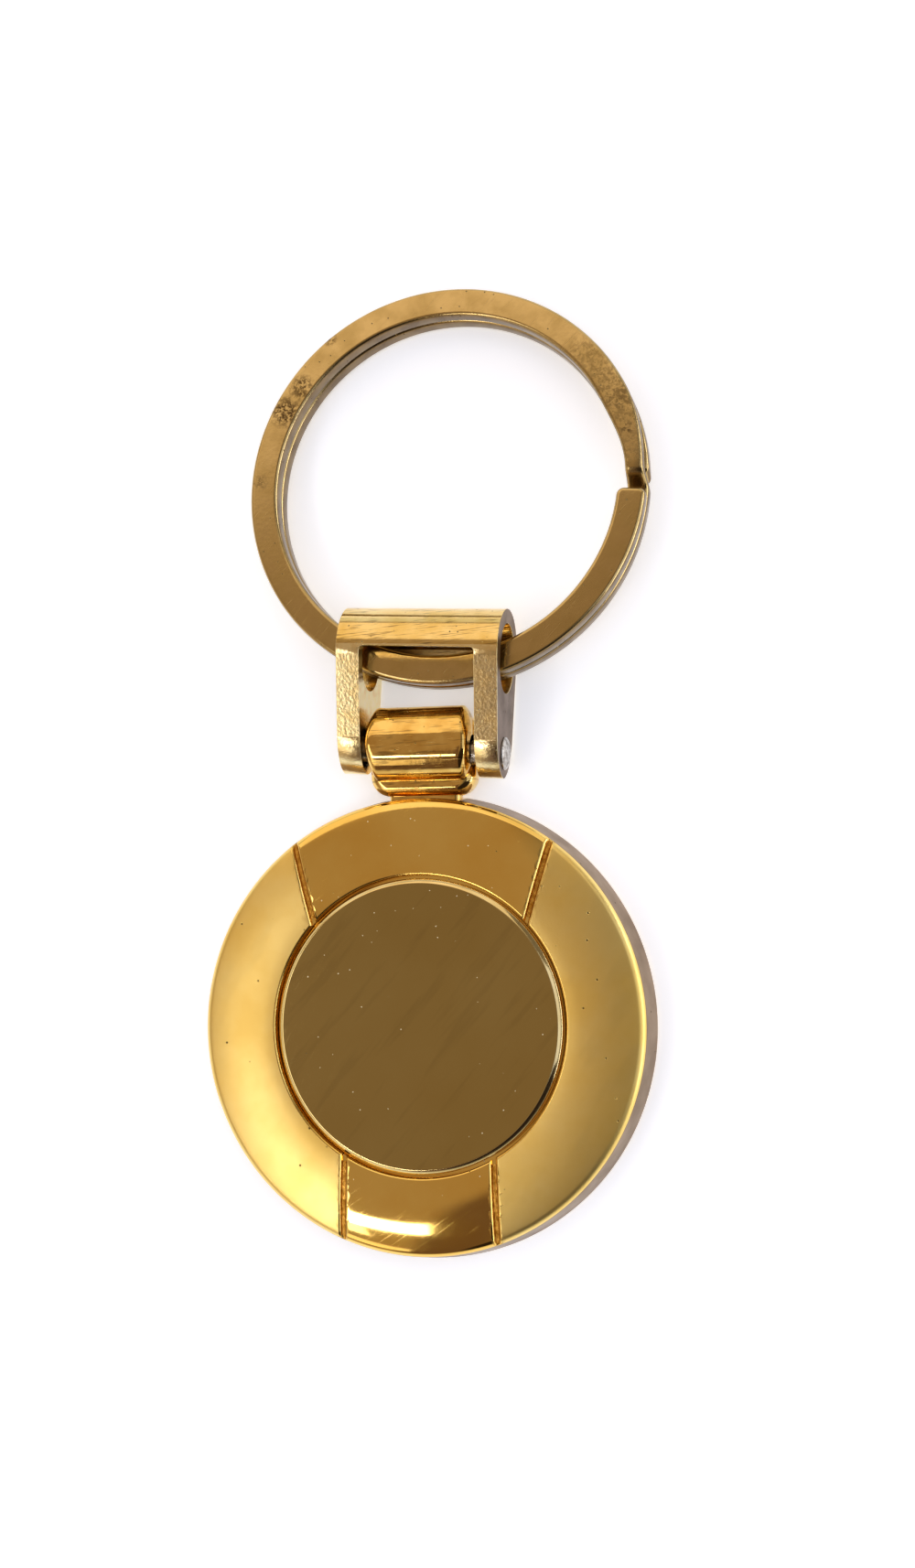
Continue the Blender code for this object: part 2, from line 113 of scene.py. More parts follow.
# Shackle: places along it are measured from the pin
SHACKLE_WIDTH = 0.0125
CHEEK = 0.0018
ARCH_RADIUS = 0.0033
ARCH_CENTRE = 0.0076
HEEL_RADIUS = 0.0025
HEEL_CENTRE = 0.0014
HEEL_REACH = 0.0033
HEEL_POWER = 1.85
TUNNEL_RADIUS = 0.0022
TUNNEL_BOTTOM = 0.0045
WINDOW_TOP = 0.00785
BACK_WINDOW_TOP = 0.0070
WIRE_ROOM_START = 0.0060
WIRE_ROOM_DEPTH = 0.00275
WIRE_ROOM_LEDGE = 0.00012
SHACKLE_EDGE = 0.00034

# Hinge pin
PIN_RADIUS = 0.00095
HEAD_RADIUS = 0.00125
HEAD_HEIGHT = 0.00035
HEAD_SEAT_GAP = 0.00004
PEEN_DEPTH = 0.00012
PEEN_SIZE = 0.0006
PEENED_FROM = 0.2  # share of the head's height

# Split ring: angles are measured back from the wire's front end, and pairs are front and hidden
# end, start and finish of the crank, and inner and outer edge
RING_RADIUS = 0.0156
WIRE_WIDTH = 0.0022
WIRE_THICKNESS = 0.0013
WIRE_EDGE = 0.0003
WIRE_END_EDGE = (0.00055, 0.0004)
TURN_GAP = 0.0001
CRANK_DEG = (6.5, 0.5)
BACK_END_DEG = 6.8
BACK_END_SLANT = 0.001
END_PIECE_DEG = 4.0
NECKED_DEG = 24.0
NECKED_BY = (0.00055, 0.00025)
WIDENED_DEG = 8.0
RING_TURNED_DEG = 1.2
RING_OUTSIDE_FROM_PIN = 0.0049
RING_SKEW_DEG = 3.0
RING_REST_GAP = 0.00003

# How finely the pieces are made
TURN_STEPS = 256
PIN_STEPS = 48
ARC_STEPS = 8
CROWN_STEPS = 16
RIM_STEPS = 14
GROOVE_STEPS = 14
LUG_STATIONS = 40
OVAL_POINTS = 96
BELT_STEPS = 40
TUNNEL_STEPS = 28
BORE_STEPS = 36
FRONT_TURN_STEPS = 160
BACK_TURN_STEPS = 150
EASE_STEPS = 12
MERGE = 0.000001
OVERRUN = 0.001

# Places that the frame gives
fob_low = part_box("fob_body")[0]
disc_low, disc_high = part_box("engraving_disc")
pad_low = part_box("disc_adhesive")[0]
FOB_RADIUS = -fob_low.x
DISC_RADIUS = disc_high.x
RECESS_RADIUS = DISC_RADIUS + DISC_SIDE_GAP
CROWN_SLOPE = math.radians(CROWN_END_DEG)
RIM_CENTRE = FOB_RADIUS - WALL_DRAFT - RIM_RADIUS
CROWN_END = RIM_CENTRE + RIM_RADIUS * math.sin(CROWN_SLOPE)
CROWN_RADIUS = (CROWN_END - CROWN_START) / math.sin(CROWN_SLOPE)
RIM_TOP = FOB_THICKNESS - CROWN_RADIUS * (1 - math.cos(CROWN_SLOPE)) - RIM_RADIUS * math.cos(CROWN_SLOPE)
joints = {joint["name"]: joint for joint in frame["joints"]}
pin_point = Vector(joints["shackle_hinge"]["pos_m"])
swing_point = Vector(joints["ring_swing"]["pos_m"])
hinge_axis = Vector(joints["shackle_hinge"]["axis"]).normalized()
shackle_along = (swing_point - pin_point).normalized()
shackle_up = hinge_axis.cross(shackle_along).normalized()


def axes(origin, along_x, along_y, along_z):
    """The placement whose own axes point the given ways."""
    turn = Matrix((along_x, along_y, along_z)).transposed().to_4x4()
    return Matrix.Translation(origin) @ turn


shackle_place = axes(pin_point, hinge_axis, shackle_along, shackle_up)
swing_from_pin = (swing_point - pin_point).length
centre_from_swing = RING_OUTSIDE_FROM_PIN + RING_RADIUS - swing_from_pin
ring_thickness = 2 * WIRE_THICKNESS + TURN_GAP
ring_skew = math.radians(RING_SKEW_DEG)
ring_tilt = math.asin((swing_point.z - RING_REST_GAP - ring_thickness / 2)
                      / (centre_from_swing * math.cos(ring_skew) + RING_RADIUS))
shackle_tilt = math.asin(shackle_along.z)
ring_place = (Matrix.Translation(swing_point) @ shackle_place.to_3x3().to_4x4()
              @ Matrix.Rotation(-shackle_tilt - ring_tilt, 4, "X") @ Matrix.Rotation(-ring_skew, 4, "Z")
              @ Matrix.Translation((0, centre_from_swing, 0)))


# Shaping, as by hand

def start(name):
    """Begin a piece in edit mode as one point at the origin: a plane merged to its middle."""
    bpy.ops.object.select_all(action="DESELECT")
    bpy.ops.mesh.primitive_plane_add(size=OVERRUN)
    piece = bpy.context.active_object
    piece.name = name
    piece.data.name = name
    bpy.ops.object.mode_set(mode="EDIT")
    bpy.ops.mesh.select_mode(type="VERT")
    bpy.ops.mesh.select_all(action="SELECT")
    bpy.ops.mesh.merge(type="CENTER")
    return piece


def draw(points, fill=False):
    """Extrude the point along a line of points, and fill the outline if asked."""
    here = Vector(points[0])
    bpy.ops.transform.translate(value=here)
    for point in points[1:]:
        step = Vector(point) - here
        bpy.ops.mesh.extrude_region_move(TRANSFORM_OT_translate={"value": step})
        here = Vector(point)
    bpy.ops.mesh.select_all(action="SELECT")
    if fill:
        bpy.ops.mesh.edge_face_add()


def extrude(step):
    """Extrude what is selected."""
    bpy.ops.mesh.extrude_region_move(TRANSFORM_OT_translate={"value": step})


def tidy():
    """Merge doubled points and turn the faces outwards."""
    bpy.ops.mesh.select_all(action="SELECT")
    bpy.ops.mesh.remove_doubles(threshold=MERGE)
    bpy.ops.mesh.normals_make_consistent(inside=False)


def turn(axis, centre=(0, 0, 0), steps=TURN_STEPS):
    """Spin the drawn line right round an axis."""
    bpy.ops.mesh.select_all(action="SELECT")
    bpy.ops.mesh.spin(steps=steps, angle=2 * math.pi, center=centre, axis=axis)
    tidy()


def pick(piece, kind, wanted):
    """Select the points, edges or faces that a test of place or normal wants."""
    bpy.ops.mesh.select_mode(type=kind)
    bpy.ops.mesh.select_all(action="DESELECT")
    mesh = bmesh.from_edit_mesh(piece.data)
    for part in {"VERT": mesh.verts, "EDGE": mesh.edges, "FACE": mesh.faces}[kind]:
        part.select_set(wanted(part))
    mesh.select_flush_mode()
    bmesh.update_edit_mesh(piece.data)


def leave():
    """Back to object mode."""
    bpy.ops.object.mode_set(mode="OBJECT")


def activate(piece):
    """Select this piece alone."""
    bpy.ops.object.select_all(action="DESELECT")
    piece.select_set(True)
    bpy.context.view_layer.objects.active = piece


def modify(piece, kind, **settings):
    """Add a modifier with its settings, and apply it."""
    activate(piece)
    modifier = piece.modifiers.new(kind.title(), kind)
    for key, value in settings.items():
        setattr(modifier, key, value)
    bpy.ops.object.modifier_apply(modifier=modifier.name)


def combine(piece, other, operation):
    """Join or cut the piece with another one, which is used up."""
    modify(piece, "BOOLEAN", operation=operation, solver="EXACT", object=other)
    bpy.data.objects.remove(other, do_unlink=True)


def soften(piece, width, steps, over_deg):
    """Round the edges that are sharper than an angle."""
    modify(piece, "BEVEL", width=width, segments=steps, limit_method="ANGLE",
           angle_limit=math.radians(over_deg), use_clamp_overlap=True)


def settle(piece, placement, smooth_deg):
    """Put the piece in its place, with its object left at the origin, and smooth its shading."""
    activate(piece)
    piece.matrix_world = placement
    bpy.ops.object.transform_apply(location=True, rotation=True, scale=True)
    bpy.ops.object.shade_smooth_by_angle(angle=math.radians(smooth_deg))
    modify(piece, "WEIGHTED_NORMAL", mode="FACE_AREA", weight=50, keep_sharp=True)


def arc(centre, radius, start_deg, end_deg, steps=ARC_STEPS):
    """Points on an arc, both ends included."""
    turns = [math.radians(start_deg + (end_deg - start_deg) * i / steps) for i in range(steps + 1)]
    return [(centre[0] + radius * math.cos(t), centre[1] + radius * math.sin(t)) for t in turns]


def oval(centre, half_across, half_along, power, count=OVAL_POINTS):
    """A superellipse: power 2 is a plain ellipse, and more makes its sides flatter."""
    points = []
    for i in range(count):
        angle = 2 * math.pi * i / count
        across = math.copysign(abs(math.cos(angle)) ** (2 / power), math.cos(angle))
        along = math.copysign(abs(math.sin(angle)) ** (2 / power), math.sin(angle))
        points.append((centre[0] + half_across * across, centre[1] + half_along * along))
    return points


def belt(near, near_radius, far, far_radius, steps, near_power=2.0, near_reach=None):
    """The outline of a belt round two ends on the outline's first axis; the near one may be drawn out."""
    reach = near_reach or near_radius
    lean = math.degrees(math.asin((far_radius - near_radius) / (far - near)))
    outline = arc((far, 0), far_radius, -90 - lean, 90 + lean, steps)
    for across, up in arc((0, 0), 1, 90 + lean, 270 - lean, steps):
        outline.append((near + reach * math.copysign(abs(across) ** (2 / near_power), across),
                        near_radius * math.copysign(abs(up) ** (2 / near_power), up)))
    return outline


def slab_x(name, outline, width):
    """A solid of an outline of (y, z) points, centred across X."""
    piece = start(name)
    draw([(-width / 2, y, z) for y, z in outline], fill=True)
    extrude((width, 0, 0))
    tidy()
    leave()
    return piece


def rod_x(name, centre, radius, width):
    """A round bar across X, to bore a hole with."""
    return slab_x(name, arc(centre, radius, 0, 360 - 360 / BORE_STEPS, BORE_STEPS - 1), width)


def loft_x(name, outline, centre, stations):
    """A solid of (y, z) points, carried along X and scaled at each (x, along, up) station."""
    place, along, up = stations[0]
    piece = start(name)
    first = [(centre[0] + (y - centre[0]) * along, centre[1] + (z - centre[1]) * up) for y, z in outline]
    draw([(place, y, z) for y, z in first], fill=True)
    for next_place, next_along, next_up in stations[1:]:
        extrude((next_place - place, 0, 0))
        bpy.ops.transform.resize(value=(1, next_along / along, next_up / up),
                                 center_override=(next_place, *centre))
        place, along, up = next_place, next_along, next_up
    tidy()
    leave()
    return piece


def slab_z(name, outline, low, high):
    """A solid of an outline of (x, y) points, between two heights."""
    piece = start(name)
    draw([(x, y, low) for x, y in outline], fill=True)
    extrude((0, 0, high - low))
    tidy()
    leave()
    return piece


def finish_faces(piece, finishes, choose):
    """Give each face one of the finishes: choose returns its number from a face's middle and normal."""
    for finish in finishes:
        piece.data.materials.append(finish)
    for face in piece.data.polygons:
        face.material_index = choose(face.center, face.normal)


# Fob casting

def crown_height(radius):
    """Height of the fob's front at a radius: flat, a slight crown, then the rim's rounding."""
    if radius <= CROWN_START:
        return FOB_THICKNESS
    if radius <= CROWN_END:
        return FOB_THICKNESS - CROWN_RADIUS + math.sqrt(CROWN_RADIUS ** 2 - (radius - CROWN_START) ** 2)
    return RIM_TOP + math.sqrt(max(RIM_RADIUS ** 2 - (radius - RIM_CENTRE) ** 2, 0))


def fob_outline():
    """Half section of the fob, from the recess floor over the front to the middle of the back."""
    points = [(0, pad_low.z), (RECESS_RADIUS, pad_low.z)]
    edge = (RECESS_RADIUS + RECESS_EDGE, FOB_THICKNESS - RECESS_EDGE)
    points += arc(edge, RECESS_EDGE, 180, 90, steps=5)
    for i in range(CROWN_STEPS + 1):
        radius = CROWN_START + (CROWN_END - CROWN_START) * i / CROWN_STEPS
        points.append((radius, crown_height(radius)))
    points += arc((RIM_CENTRE, RIM_TOP), RIM_RADIUS, 90 - CROWN_END_DEG, 0, RIM_STEPS)[1:]
    back = (FOB_RADIUS - BACK_EDGE, BACK_EDGE)
    points += arc(back, BACK_EDGE, 0, -90, steps=6)
    points += [(FOB_RADIUS / 2, 0), (0, 0)]
    return points


def groove_line(band, side, end):
    """Where a groove starts at the recess and which way it runs to the rim."""
    inner, outer = band[0] / 2, band[1] / 2
    begin = Vector((side * inner, end * math.sqrt(RECESS_RADIUS ** 2 - inner ** 2), 0))
    stop = Vector((side * outer, end * math.sqrt(FOB_RADIUS ** 2 - outer ** 2), 0))
    return begin, (stop - begin).normalized()


GROOVES = [groove_line(band, side, end) for band, end in ((UPPER_BAND, 1), (LOWER_BAND, -1))
           for side in (-1, 1)]


def beside_groove(point, groove):
    """How far a point lies to the side of a groove's line."""
    begin, along = groove
    return abs((point.x - begin.x) * along.y - (point.y - begin.y) * along.x)


def make_groove_cutter(begin, along):
    """A bar with the groove's section, whose underside follows the crown out through the rim."""
    across = Vector((along.y, -along.x, 0))
    flare = GROOVE_WIDTH / 2 + (GROOVE_WIDTH - GROOVE_FLOOR) / 2 / GROOVE_DEPTH * OVERRUN
    section = [(-flare, OVERRUN), (-GROOVE_FLOOR / 2, -GROOVE_DEPTH), (GROOVE_FLOOR / 2, -GROOVE_DEPTH),
               (flare, OVERRUN)]
    cutter = start("groove_cutter")
    place = begin - along * GROOVE_LEAD

    def height(point):
        return crown_height(min(point.xy.length, CROWN_END + RIM_RADIUS * GROOVE_RUNS_OUT))

    draw([place + across * off + Vector((0, 0, height(place) + up)) for off, up in section], fill=True)
    for _ in range(GROOVE_STEPS):
        step = along * (FOB_RADIUS + OVERRUN - RECESS_RADIUS + GROOVE_LEAD) / GROOVE_STEPS
        extrude(step + Vector((0, 0, height(place + step) - height(place))))
        place = place + step
    tidy()
    leave()
    return cutter


def make_knuckle():
    """The barrel that the pin runs through, on its collar."""
    length, thick = LUG_SECTION
    half = LUG_WIDTH / 2
    centre = (pin_point.y + LUG_SECTION_OFFSET, pin_point.z)
    stations = []
    for i in range(LUG_STATIONS + 1):
        place = half * math.sin(math.pi * (i / LUG_STATIONS - 0.5))
        reach = LUG_PLAN * (1 - abs(place / half * LUG_BLUNT) ** LUG_PLAN_POWER) ** (1 / LUG_PLAN_POWER)
        inside = max(abs(place) - (half - LUG_EDGE), 0)
        drop = LUG_EDGE - math.sqrt(max(LUG_EDGE ** 2 - inside ** 2, 0))
        stations.append((place, min(reach / length, 1) - 2 * drop / length, 1 - 2 * drop / thick))
    barrel = loft_x("barrel", oval(centre, length / 2, thick / 2, 2.0), centre, stations)
    half, corner = COLLAR_WIDTH / 2 - COLLAR_CORNER, COLLAR_CORNER
    near, far = pin_point.y + COLLAR_ENDS[0] + corner, pin_point.y + COLLAR_ENDS[1] - corner
    outline = (arc((half, far), corner, 0, 90) + arc((-half, far), corner, 90, 180)
               + arc((-half, near), corner, 180, 270) + arc((half, near), corner, 270, 360))
    collar = slab_z("collar", outline, *COLLAR_HEIGHTS)
    soften(collar, COLLAR_EDGE, 6, 60)
    combine(barrel, collar, "UNION")
    return barrel


def make_neck():
    """The short bar from the collar into the fob's rim."""
    ends = (RIM_CENTRE, pin_point.y - LUG_SECTION[0] / 4)
    half = NECK_WIDTH / 2
    outline = [(-half, ends[0]), (half, ends[0]), (half, ends[1]), (-half, ends[1])]
    neck = slab_z("neck", outline, *NECK_HEIGHTS)
    soften(neck, NECK_EDGE, 4, 60)
    return neck


def in_band(place):
    """Whether a point of the front lies on a polished band, between its two grooves."""
    band, end = (UPPER_BAND, 1) if place.y > 0 else (LOWER_BAND, -1)
    begin, along = groove_line(band, 1, end)
    edge = begin.x + (place.y - begin.y) * along.x / along.y
    return abs(place.x) < edge


def on_shoulder(edge):
    """Whether an edge is one where a groove's wall meets the crown."""
    if len(edge.link_faces) != 2 or edge.calc_face_angle(0) < math.radians(30):
        return False
    middle = (edge.verts[0].co + edge.verts[1].co) / 2
    radius = middle.xy.length
    if abs(middle.z - crown_height(radius)) > GROOVE_DEPTH / 3 or radius < RECESS_RADIUS + RECESS_EDGE / 2:
        return False
    return any(beside_groove(middle, groove) < GROOVE_WIDTH for groove in GROOVES)


def fob_finish(middle, normal):
    """Which of the fob's finishes a face has: buffed, satin, groove floor, wall (darkened as a painted
    reflection), back or rubbed.
    """
    buffed, satin, groove_floor, wall, back, rubbed = range(6)
    radius = math.hypot(middle.x, middle.y)
    beside_neck = middle.y > RIM_CENTRE and abs(middle.x) < NECK_WIDTH / 2
    if radius > FOB_RADIUS + MERGE or beside_neck and radius > FOB_RADIUS - WALL_DRAFT - MERGE:
        return rubbed
    if radius < RECESS_RADIUS + RECESS_EDGE and middle.z > pad_low.z - MERGE:
        return buffed
    if normal.z < -0.5:
        return back
    if radius > CROWN_START and middle.z < RIM_TOP + RIM_RADIUS * WALL_FINISH_FROM:
        return wall
    for groove in GROOVES:
        off = beside_groove(middle, groove)
        if off < GROOVE_WIDTH / 2 and middle.z < crown_height(radius) - FLOOR_FINISH_BELOW * GROOVE_DEPTH:
            return groove_floor
        if off < GROOVE_WIDTH * LIP_FINISH_REACH:
            return buffed
    return buffed if in_band(middle) else satin


def make_fob(*finishes):
    """The casting: a spun plate with its grooves cut, joined to the bored knuckle by the neck."""
    fob = start("fob_casting")
    draw([(radius, 0, height) for radius, height in fob_outline()])
    turn((0, 0, 1))
    leave()
    for begin, along in GROOVES:
        combine(fob, make_groove_cutter(begin, along), "DIFFERENCE")
    activate(fob)
    bpy.ops.object.mode_set(mode="EDIT")
    pick(fob, "EDGE", on_shoulder)
    bpy.ops.mesh.bevel(offset=GROOVE_SHOULDER, segments=4, affect="EDGES", offset_type="OFFSET")
    leave()
    knuckle = make_knuckle()
    combine(knuckle, make_neck(), "UNION")
    combine(knuckle, rod_x("bore", (pin_point.y, pin_point.z), BORE_RADIUS, 2 * LUG_WIDTH), "DIFFERENCE")
    combine(fob, knuckle, "UNION")
    settle(fob, Matrix(), 40)
    finish_faces(fob, finishes, fob_finish)
    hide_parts("fob_body")
    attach(fob, "fob")
    return fob


# Engraving disc

def make_disc(face_finish, edge_finish):
    """The blank: a turned disc with a bevelled edge."""
    width, depth = DISC_BEVEL
    top, bottom = disc_high.z, disc_low.z
    disc = start("engraving_blank")
    draw([(0, 0, top), (DISC_RADIUS - DISC_FLAT_RING * width, 0, top), (DISC_RADIUS - width, 0, top),
          (DISC_RADIUS, 0, top - depth), (DISC_RADIUS, 0, bottom), (0, 0, bottom)])
    turn((0, 0, 1))
    leave()
    soften(disc, DISC_EDGE, 3, 20)
    settle(disc, Matrix(), 20)
    finish_faces(disc, (face_finish, edge_finish),
                 lambda middle, normal: 0 if normal.z > 0.999 else 1)
    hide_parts("engraving_disc")
    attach(disc, "fob")
    return disc


# Shackle

def shackle_finish(middle, normal):
    """Which of the shackle's finishes a face has: arch, leg or cheek."""
    if abs(normal.x) > 0.9 and abs(middle.x) > SHACKLE_WIDTH / 2 - SHACKLE_EDGE:
        return 2
    return 1 if middle.y < WINDOW_TOP else 0


def make_shackle(*finishes):
    """The stirrup: a belt-shaped bar with its tunnel, window and pin hole cut."""
    outside = belt(HEEL_CENTRE, HEEL_RADIUS, ARCH_CENTRE, ARCH_RADIUS, BELT_STEPS, HEEL_POWER, HEEL_REACH)
    shackle = slab_x("hinge_shackle", outside, SHACKLE_WIDTH)
    through = SHACKLE_WIDTH + OVERRUN
    tunnel = belt(TUNNEL_BOTTOM + TUNNEL_RADIUS, TUNNEL_RADIUS - MERGE, ARCH_CENTRE, TUNNEL_RADIUS,
                  TUNNEL_STEPS)
    combine(shackle, slab_x("tunnel", tunnel, through), "DIFFERENCE")
    half = SHACKLE_WIDTH / 2 - CHEEK
    corner = SHACKLE_EDGE
    for top, low, high in ((WINDOW_TOP, 0, 2 * ARCH_RADIUS), (BACK_WINDOW_TOP, -2 * ARCH_RADIUS, MERGE)):
        window = ([(half, -2 * HEEL_RADIUS)] + arc((half - corner, top - corner), corner, 0, 90, 3)
                  + arc((corner - half, top - corner), corner, 90, 180, 3) + [(-half, -2 * HEEL_RADIUS)])
        combine(shackle, slab_z("window", window, low, high), "DIFFERENCE")
    soften(shackle, SHACKLE_EDGE, 3, 50)
    combine(shackle, rod_x("pin_hole", (0, 0), PIN_RADIUS + HEAD_SEAT_GAP, through), "DIFFERENCE")
    # a relief behind the wire leaves it room when the ring stands up
    side = half - WIRE_ROOM_LEDGE
    relief = [(side, WIRE_ROOM_START), (side, WINDOW_TOP), (-side, WINDOW_TOP), (-side, WIRE_ROOM_START)]
    combine(shackle, slab_z("wire_room", relief, -WIRE_ROOM_DEPTH, -TUNNEL_RADIUS / 2), "DIFFERENCE")
    finish_faces(shackle, finishes, shackle_finish)
    settle(shackle, shackle_place, 35)
    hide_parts("shackle")
    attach(shackle, "shackle")
    return shackle


# Hinge pin

def make_pin(steel):
    """The pin: a spun rod with domed heads, dented by the hammer."""
    pin = start("peened_pin")
    seat = SHACKLE_WIDTH / 2 + HEAD_SEAT_GAP
    dome = [(seat + HEAD_HEIGHT * math.cos(t), HEAD_RADIUS * math.sin(t))
            for t in [math.pi / 2 * i / 10 for i in range(11)]]
    half = dome + [(seat, PIN_RADIUS)]
    outline = half + [(-along, radius) for along, radius in reversed(half)]
    draw([(along, radius, 0) for along, radius in outline])
    turn((1, 0, 0), steps=PIN_STEPS)
    leave()
    blows = bpy.data.textures.new("hammer blows", "CLOUDS")
    blows.noise_scale = PEEN_SIZE
    activate(pin)
    heads = pin.vertex_groups.new(name="heads")
    peened = [p.index for p in pin.data.vertices if abs(p.co.x) > seat + HEAD_HEIGHT * PEENED_FROM]
    heads.add(peened, 1.0, "ADD")
    modify(pin, "DISPLACE", texture=blows, strength=PEEN_DEPTH, mid_level=0.6, vertex_group="heads")
    finish_faces(pin, (steel,), lambda middle, normal: 0)
    settle(pin, shackle_place, 50)
    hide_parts("hinge_pin")
    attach(pin, "shackle")
    return pin


# Split ring

def make_ring(face_plate, wall_plate):
    """Two turns of flat wire. The wire starts at the right and travels clockwise, seen from above."""
    outer = RING_RADIUS
    inner = RING_RADIUS - WIRE_WIDTH
    pitch = WIRE_THICKNESS + TURN_GAP
    low = pitch / 2 - WIRE_THICKNESS / 2
    ring = start("wire_ring")
    draw([(inner, 0, low), (outer, 0, low), (outer, 0, low + WIRE_THICKNESS),
          (inner, 0, low + WIRE_THICKNESS)], fill=True)

    def travel(degrees, steps, fall=0.0):
        """Carry the end face on round the ring, and let it fall."""
        bpy.ops.mesh.spin(steps=steps, angle=math.radians(degrees), center=(0, 0, 0),
                          axis=(0, 0, 1))
        if fall:
            bpy.ops.transform.translate(value=(0, 0, -fall))

    def move_corners(wanted, step):
        """Move the end face's corners that a test wants, and leave the face selected."""
        mesh = bmesh.from_edit_mesh(ring.data)
        corners = [point.index for point in mesh.verts if point.select]
        chosen = [point.index for point in mesh.verts if point.select and wanted(point)]
        if step.length:
            pick(ring, "VERT", lambda point: point.index in chosen)
            bpy.ops.transform.translate(value=step)
            pick(ring, "VERT", lambda point: point.index in corners)
        bpy.ops.mesh.select_mode(type="FACE")

    def reshape(inner_by, outer_by):
        """Move the end face's inner and outer edges outwards along the radius."""
        mesh = bmesh.from_edit_mesh(ring.data)
        corners = [point.co.copy() for point in mesh.verts if point.select]
        middle = sum(corner.xy.length for corner in corners) / len(corners)
        out = sum(corners, Vector()).xy.normalized().to_3d()
        move_corners(lambda point: point.co.xy.length < middle, out * inner_by)
        move_corners(lambda point: point.co.xy.length > middle, out * outer_by)

    def ease(i):
        """The share of a change that falls in one step, small at both ends."""
        return (math.cos(math.pi * (i - 1) / EASE_STEPS) - math.cos(math.pi * i / EASE_STEPS)) / 2

    def go_on(degrees, fall=0.0, inner_by=0.0, outer_by=0.0):
        """Travel on while the wire falls and its edges move, all eased."""
        for i in range(1, EASE_STEPS + 1):
            travel(degrees / EASE_STEPS, 1, fall * ease(i))
            reshape(inner_by * ease(i), outer_by * ease(i))

    inner_by, outer_by = NECKED_BY
    crank = CRANK_DEG[0] - CRANK_DEG[1]
    back = 360 - BACK_END_DEG + CRANK_DEG[1]
    travel(END_PIECE_DEG, 1)
    travel(360 - CRANK_DEG[0] - NECKED_DEG - END_PIECE_DEG, FRONT_TURN_STEPS)
    go_on(NECKED_DEG, inner_by=inner_by, outer_by=-outer_by)
    go_on(crank, fall=pitch, outer_by=outer_by)
    go_on(WIDENED_DEG, inner_by=-inner_by)
    travel(back - END_PIECE_DEG - WIDENED_DEG - NECKED_DEG, BACK_TURN_STEPS)
    go_on(NECKED_DEG, inner_by=inner_by)
    travel(END_PIECE_DEG, 1)
    mesh = bmesh.from_edit_mesh(ring.data)
    middle = next(face for face in mesh.faces if face.select).calc_center_median()
    onward = middle.cross(Vector((0, 0, 1))).normalized()
    move_corners(lambda point: point.co.z < middle.z, onward * BACK_END_SLANT)
    tidy()
    for side, radius in zip((1, -1), WIRE_END_EDGE):
        pick(ring, "EDGE", lambda edge: len(edge.link_faces) == 2
             and abs(edge.verts[0].co.z - edge.verts[1].co.z) > WIRE_THICKNESS / 2
             and edge.verts[0].co.z * side > 0 and edge.calc_face_angle(0) > math.radians(60))
        bpy.ops.mesh.bevel(offset=radius, segments=6, affect="EDGES", offset_type="OFFSET")
    pick(ring, "EDGE", lambda edge: len(edge.link_faces) == 2
         and edge.calc_face_angle(0) > math.radians(45))
    bpy.ops.mesh.bevel(offset=WIRE_EDGE, segments=5, affect="EDGES", offset_type="OFFSET")
    leave()
    finish_faces(ring, (face_plate, wall_plate),
                 lambda middle, normal: 0 if abs(normal.z) > 0.5 else 1)
    settle(ring, ring_place @ Matrix.Rotation(math.radians(RING_TURNED_DEG), 4, "Z"), 40)
    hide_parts("split_ring")
    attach(ring, "ring")
    return ring


# Finishes

# Brown of wear and streaks; the broad patches on the ring's right also lay it on as painted shade
WEAR_AND_SHADE_BROWN = "#4b331b"
WORN_ROUGHNESS = 0.55
SCRATCH_ROUGHNESS = 0.5
PIT_BROWN = "#4a3418"
PIT_ROUGHNESS = 0.6
PIT_DEPTH_MM = 0.03
DUST_PALE = "#e9ddbd"
DUST_ROUGHNESS = 0.7
SPOT_CORE = 0.4  # share of a spot's radius inside which it is full
FRET_SCALE = 2800.0  # of the noise that frets the brown patches of wear and painted shade, per metre
# Values of a noise between which each pattern fades in
TONE_SPREAD = (0.38, 0.66)
GLOSS_SPREAD = (0.3, 0.7)
STREAK_SPREAD = (0.56, 0.70)
FRET_SPREAD = (0.44, 0.56)
SCRATCH_SPREAD = (0.66, 0.74)
# Brown patches on the ring's face: place and radius in metres, and strength. The small strong ones are wear;
# the four broad faint ones on the right darken that side as painted shade
WEAR_AND_SHADE_PLACES = (((-0.01090, 0.04772, 0.0034), 0.0015, 0.9), ((-0.00962, 0.04958, 0.0032), 0.0012, 0.8),
               ((-0.00744, 0.05344, 0.0030), 0.0007, 0.7), ((-0.01280, 0.04209, 0.0039), 0.0008, 0.5),
               ((0.01609, 0.04449, 0.0034), 0.0006, 0.7), ((0.01498, 0.04783, 0.0033), 0.0026, 0.4),
               ((0.01587, 0.04585, 0.0034), 0.0024, 0.4), ((0.01642, 0.04294, 0.0034), 0.0020, 0.38),
               ((0.01297, 0.05027, 0.0032), 0.0022, 0.28))


def linear(code):
    """An sRGB hex colour as linear red, green, blue and alpha."""
    channels = [int(code[i:i + 2], 16) / 255 for i in (1, 3, 5)]
    return tuple(c / 12.92 if c <= 0.04045 else ((c + 0.055) / 1.055) ** 2.4 for c in channels) + (1.0,)


def node(tree, kind, inputs=None, **settings):
    """Add a node, with its settings, and its inputs set or linked."""
    added = tree.nodes.new("ShaderNode" + kind)
    for key, value in settings.items():
        setattr(added, key, value)
    for key, value in (inputs or {}).items():
        if isinstance(value, bpy.types.NodeSocket):
            tree.links.new(value, added.inputs[key])
        else:
            added.inputs[key].default_value = value
    return added


def calculate(tree, operation, first, second):
    """Two values multiplied, added, compared or the like."""
    return node(tree, "Math", {0: first, 1: second}, operation=operation).outputs[0]


